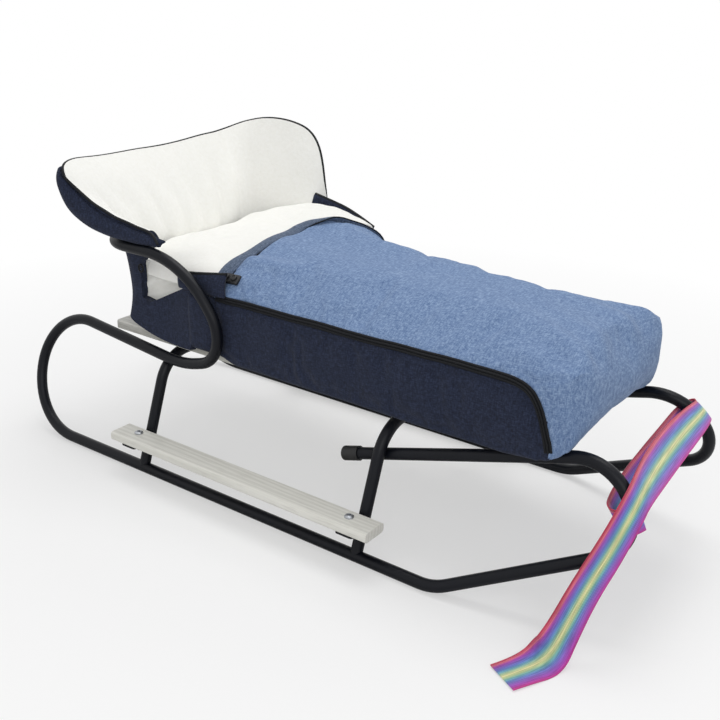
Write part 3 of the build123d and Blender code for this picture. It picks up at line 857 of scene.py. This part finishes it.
# Zip ends: on each side a navy gusset carries on from the zip to the hood, with a corded
# upper edge. It is a flat panel sewn into the side seam.
gussets = {
    # lower seam, middle and upper edge, from the rear to the front
    "right": [
        [(-214, -156, 317), (-180, -158, 317), (-146, -159, 318), (-116, -159, 320)],
        [(-217, -156, 328), (-182, -160, 331), (-148, -160, 334), (-118, -158, 337)],
        [(-220, -152, 339), (-184, -157, 345), (-150, -155, 350), (-120, -150, 354)],
    ],
    "left": [
        [(-208, 156, 317), (-160, 158, 317), (-110, 159, 317), (-66, 159, 318)],
        [(-206, 158, 362), (-160, 160, 358), (-108, 160, 354), (-64, 159, 348)],
        [(-196, 164, 414), (-160, 162, 408), (-112, 160, 398), (-64, 156, 378)],
    ],
}
for side_name, lines in gussets.items():
    edges = led_lines("gusset_line", lines, 16)
    gusset = skin_between(f"zip_gusset_{side_name}", edges, 14)
    for vertex in gusset.data.vertices:
        vertex.co.y += 0.002 * noise.noise(vertex.co / 0.03)
    apply_modifier(gusset, "SOLIDIFY", thickness=0.005, offset=0)
    bpy.ops.object.shade_smooth()
    dress(gusset, dark_canvas)
    upper = edges[2]
    outwards = Vector((0, -1 if side_name == "right" else 1, 0))
    cord = laid_strip(
        f"zip_gusset_cord_{side_name}", upper, [outwards] * len(upper), round_section(0, 0.001, 0.003)
    )
    dress(cord, zip_cloth)
    for piece in (gusset, cord):
        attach(piece, "root")

# Press studs: two black studs on a moulded tab, of the same plastic as the end caps. The tab
# is fixed on the cover and closes it at the zip's end.
tab_size = Vector((0.034, 0.017, 0.006))
stud_radius = 0.0052
stud_rise = 0.0028
tab_rise = radians(21)
tab_middle = Vector((-0.12, 0, 0.29))
tab_out = Vector((0, -cos(tab_rise), sin(tab_rise)))
hit, tab_spot, tab_normal, face = cover.ray_cast(tab_middle + tab_out * 0.3, -tab_out)
bpy.ops.object.select_all(action="DESELECT")
bpy.ops.mesh.primitive_cube_add(size=1)
tab = bpy.context.object
tab.name = "press_stud_tab"
for vertex in tab.data.vertices:
    vertex.co = Vector((vertex.co.x * tab_size.x, vertex.co.y * tab_size.y, vertex.co.z * tab_size.z))
apply_modifier(tab, "BEVEL", width=0.002, segments=3)
studs = [tab]
for along in (-0.008, 0.008):
    bpy.ops.object.select_all(action="DESELECT")
    bpy.ops.mesh.primitive_cylinder_add(vertices=24, radius=stud_radius, depth=stud_rise)
    stud = bpy.context.object
    select_faces(stud, lambda face: face.normal.z > 0.9)
    bpy.ops.mesh.inset(thickness=0.0012)
    bpy.ops.transform.translate(value=(0, 0, 0.0008))
    bpy.ops.mesh.inset(thickness=0.0008)
    bpy.ops.transform.translate(value=(0, 0, -0.001))
    bpy.ops.object.mode_set(mode="OBJECT")
    for vertex in stud.data.vertices:
        vertex.co += Vector((along, 0, (tab_size.z + stud_rise) / 2))
    studs.append(stud)
bpy.ops.object.select_all(action="DESELECT")
for piece in studs:
    piece.select_set(True)
bpy.context.view_layer.objects.active = tab
bpy.ops.object.join()
tab_across = Vector((1, 0, 0)).cross(tab_normal).normalized()
tab_along = tab_normal.cross(tab_across) * -1
for vertex in tab.data.vertices:
    x, y, z = vertex.co
    vertex.co = tab_spot - tab_along * x - tab_across * y + tab_normal * (z + 0.002)
bpy.ops.object.mode_set(mode="EDIT")
bpy.ops.mesh.select_all(action="SELECT")
bpy.ops.mesh.normals_make_consistent(inside=False)
bpy.ops.object.mode_set(mode="OBJECT")
bpy.ops.object.shade_smooth_by_angle(angle=radians(35))
dress(tab, cap_plastic)
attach(tab, "root")

# Tow strap: woven polyester webbing, 50 mm wide, striped lengthwise. One end is sewn
# round the right nose, the strap goes round both noses, and its tail hangs to the ground.
strap_width = 0.05
strap_thick = 0.002
strap_route = [
    Vector(point) / 1000
    for point in (
        (553, -140, 178),
        (547, -158, 174),
        (535, -164, 170),
        (528, -156, 169),
        (526, -138, 172),
        (521, -80, 179),
        (518, 0, 184),
        (516, 80, 189),
        (514, 130, 194),
        (517, 157, 202),
        (528, 159, 208),
        (534, 141, 212),
        (535, 80, 213),
        (537, 0, 212),
        (542, -80, 208),
        (547, -128, 204),
        (549, -164, 190),
        (536, -188, 140),
        (521, -215, 93),
        (509, -239, 42),
        (500, -256, 10),
        (486, -282, 3),
        (469, -314, 3),
    )
]
strap_faces = [
    # the way the strap's face looks at each point of the route
    Vector(facing).normalized()
    for facing in (
        (0.88, -0.3, 0.4),
        (0.5, -0.82, 0.25),
        (-0.1, -1, -0.05),
        (-0.6, -0.6, -0.55),
        (-0.66, -0.1, -0.75),
        (-0.66, 0, -0.75),
        (-0.66, 0, -0.75),
        (-0.66, 0, -0.75),
        (-0.66, 0.1, -0.75),
        (-0.4, 0.85, -0.35),
        (0.35, 0.8, 0.5),
        (0.6, 0.25, 0.76),
        (0.64, 0, 0.77),
        (0.7, 0, 0.71),
        (0.76, 0, 0.65),
        (0.82, -0.1, 0.56),
        (0.84, -0.4, 0.36),
        (0.83, -0.54, 0.14),
        (0.83, -0.5, 0.2),
        (0.75, -0.42, 0.5),
        (0.4, -0.2, 0.88),
        (0, 0, 1),
        (0, 0, 1),
    )
]
strap_gathers = [
    # where the limp strap gathers round a nose: share of its length, reach, share of its width
    (0.06, 0.09, 0.3),
    (0.46, 0.08, 0.34),
    (0.71, 0.06, 0.14),
]
strap_line = spline_points("strap_line", strap_route)
face_line = spline_points("strap_face_line", strap_faces)
bpy.ops.object.select_all(action="DESELECT")
bpy.ops.mesh.primitive_grid_add(x_subdivisions=8, y_subdivisions=len(strap_line) - 1, size=1)
strap = bpy.context.object
strap.name = "tow_strap"
rows = len(strap_line)
for vertex in strap.data.vertices:
    across = vertex.co.x
    row = round((vertex.co.y + 0.5) * (rows - 1))
    ahead = strap_line[min(row + 1, rows - 1)] - strap_line[max(row - 1, 0)]
    sideways = ahead.cross(face_line[row]).normalized()
    gathered = max(hump(row / (rows - 1), at, reach) * share for at, reach, share in strap_gathers)
    cupped = 0.004 * gathered * (1 - (2 * across) ** 2)
    spread = sideways * across * strap_width * (1 - gathered)
    vertex.co = strap_line[row] + spread + face_line[row].normalized() * cupped
apply_modifier(strap, "SOLIDIFY", thickness=strap_thick, offset=0)
bpy.ops.object.shade_smooth_by_angle(angle=radians(50))

# Webbing: dyed polyester yarns laid lengthwise in blended stripes, crossed by a fine weft
# that ribs the face. The weft is drawn coarser than the real 1 mm so that it shows.
strap_stripes = [
    # place across the strap, colour
    (0.0, "#cf2a92"),
    (0.1, "#b04cc0"),
    (0.2, "#8c6ccc"),
    (0.28, "#6c8cd0"),
    (0.36, "#7abcb4"),
    (0.43, "#c6d89c"),
    (0.5, "#efe9ac"),
    (0.56, "#b8d4a4"),
    (0.63, "#70b0c0"),
    (0.71, "#6682d0"),
    (0.79, "#865ec4"),
    (0.86, "#ac46b4"),
    (0.92, "#e47086"),
    (1.0, "#be2049"),
]
weft_pitch = 0.0026
yarn_pitch = 0.0014
strap_length = sum((b - a).length for a, b in zip(strap_line, strap_line[1:]))
webbing, tree, shader = new_material("woven_polyester_webbing")
strap_map = add_node(tree, "ShaderNodeUVMap", {"uv_map": strap.data.uv_layers[0].name}).outputs["UV"]
axes = add_node(tree, "ShaderNodeSeparateXYZ", (), {"Vector": strap_map})
stripes = add_node(tree, "ShaderNodeValToRGB", (), {"Fac": axes.outputs["X"]})
stripes.color_ramp.interpolation = "LINEAR"
while len(stripes.color_ramp.elements) < len(strap_stripes):
    stripes.color_ramp.elements.new(0.5)
for stop, (at, colour) in zip(stripes.color_ramp.elements, strap_stripes):
    stop.position = at
    stop.color = linear(colour)
flat_size = {"Scale": (strap_width, strap_length, 1.0)}
laid_out = add_node(tree, "ShaderNodeMapping", flat_size, {"Vector": strap_map}).outputs[0]
weft_bands = {"bands_direction": "Y", "Scale": wave_period / weft_pitch, "Distortion": 0.6}
weft = add_node(tree, "ShaderNodeTexWave", weft_bands, {"Vector": laid_out})
drawn_out = add_node(tree, "ShaderNodeMapping", {"Scale": (1.0, 0.05, 1.0)}, {"Vector": laid_out})
yarn_noise = {"Scale": 1 / yarn_pitch, "Detail": 2.0}
yarns = add_node(tree, "ShaderNodeTexNoise", yarn_noise, {"Vector": drawn_out.outputs[0]})
yarn_shades = {"From Min": 0.3, "From Max": 0.7, "To Min": 0.62, "To Max": 1.12}
shade = add_node(tree, "ShaderNodeMapRange", yarn_shades, {"Value": yarns.outputs["Fac"]})
shaded = {"data_type": "RGBA", "blend_type": "MULTIPLY", 0: 1.0}
worn = add_node(tree, "ShaderNodeMix", shaded, {6: stripes.outputs["Color"], 7: shade.outputs[0]})
ribs = add_node(tree, "ShaderNodeBump", {"Strength": 0.4, "Distance": 0.0005}, {"Height": weft.outputs["Fac"]})
tree.links.new(worn.outputs[2], shader.inputs["Base Color"])
tree.links.new(ribs.outputs["Normal"], shader.inputs["Normal"])
shader.inputs["Roughness"].default_value = 0.7
shader.inputs["Sheen Weight"].default_value = 0.3
dress(strap, webbing)
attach(strap, "root")
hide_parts("strap_wound", "strap_tail")
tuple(strap_line[0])

# Studio: a pale floor that runs out into white, a broad soft light from above and
# the left, a weaker one from the front right, and the camera at the photograph's place.
bpy.ops.object.select_all(action="DESELECT")
bpy.ops.mesh.primitive_plane_add(size=30)
floor = bpy.context.object
floor.name = "studio_floor"
floor_paint, tree, shader = new_material("matt_white_floor")
shader.inputs["Base Color"].default_value = linear("#f2f2f2")
shader.inputs["Roughness"].default_value = 0.9
place = add_node(tree, "ShaderNodeTexCoord").outputs["Object"]
away = add_node(tree, "ShaderNodeVectorMath", {"operation": "LENGTH"}, {0: place})
floor_to_white = {"From Min": 0.5, "From Max": 1.5, "To Min": 0.45}
fade = add_node(tree, "ShaderNodeMapRange", floor_to_white, {"Value": away.outputs["Value"]})
seen = add_node(tree, "ShaderNodeLightPath").outputs["Is Camera Ray"]
fade_seen = add_node(tree, "ShaderNodeMath", {"operation": "MULTIPLY"}, {0: fade.outputs[0], 1: seen})
white = add_node(tree, "ShaderNodeEmission", {"Color": (1, 1, 1, 1), "Strength": 1.0})
blend = {0: fade_seen.outputs[0], 1: shader.outputs[0], 2: white.outputs[0]}
both = add_node(tree, "ShaderNodeMixShader", (), blend)
tree.links.new(both.outputs[0], tree.nodes["Material Output"].inputs["Surface"])
dress(floor, floor_paint)

sky = bpy.data.worlds.new("studio_sky")
bpy.context.scene.world = sky
sky.use_nodes = True
tree = sky.node_tree
rays = add_node(tree, "ShaderNodeLightPath").outputs
white_rays = {0: rays["Is Camera Ray"], 1: rays["Is Glossy Ray"]}
direct = add_node(tree, "ShaderNodeMath", {"operation": "MAXIMUM"}, white_rays)
level = add_node(tree, "ShaderNodeMapRange", {"To Min": 0.55, "To Max": 1.0}, {"Value": direct.outputs[0]})
tree.links.new(level.outputs[0], tree.nodes["Background"].inputs["Strength"])
tree.nodes["Background"].inputs["Color"].default_value = (1, 1, 1, 1)


def soft_light(name, place, aim, size, power):
    """A square area light that looks at a point."""
    lamp = bpy.data.lights.new(name, "AREA")
    lamp.size = size
    lamp.energy = power
    lamp_object = bpy.data.objects.new(name, lamp)
    bpy.context.scene.collection.objects.link(lamp_object)
    lamp_object.location = place
    lamp_object.rotation_euler = (Vector(aim) - Vector(place)).to_track_quat("-Z", "Y").to_euler()


soft_light("key_light", (-0.1, 0.5, 2.9), (0, 0, 0.2), 1.8, 34)
soft_light("fill_light", (1.5, -2.0, 1.7), (0.1, 0, 0.2), 1.6, 14)

eye = Vector((0.8827, -1.2207, 0.8067))
view_azimuth = radians(35.06)
view_elevation = radians(21.97)
view_roll = radians(1.63)
lens = bpy.data.cameras.new("photo_camera")
lens.lens = 50.0
lens.sensor_width = 36.0
camera = bpy.data.objects.new("photo_camera", lens)
bpy.context.scene.collection.objects.link(camera)
camera.location = eye
level_ahead = Vector((-sin(view_azimuth), cos(view_azimuth), 0)) * cos(view_elevation)
ahead = level_ahead - Vector((0, 0, sin(view_elevation)))
camera.rotation_euler = ahead.to_track_quat("-Z", "Y").to_euler()
camera.rotation_euler.rotate_axis("Z", view_roll)
bpy.context.scene.camera = camera
bpy.context.scene.view_settings.view_transform = "Standard"
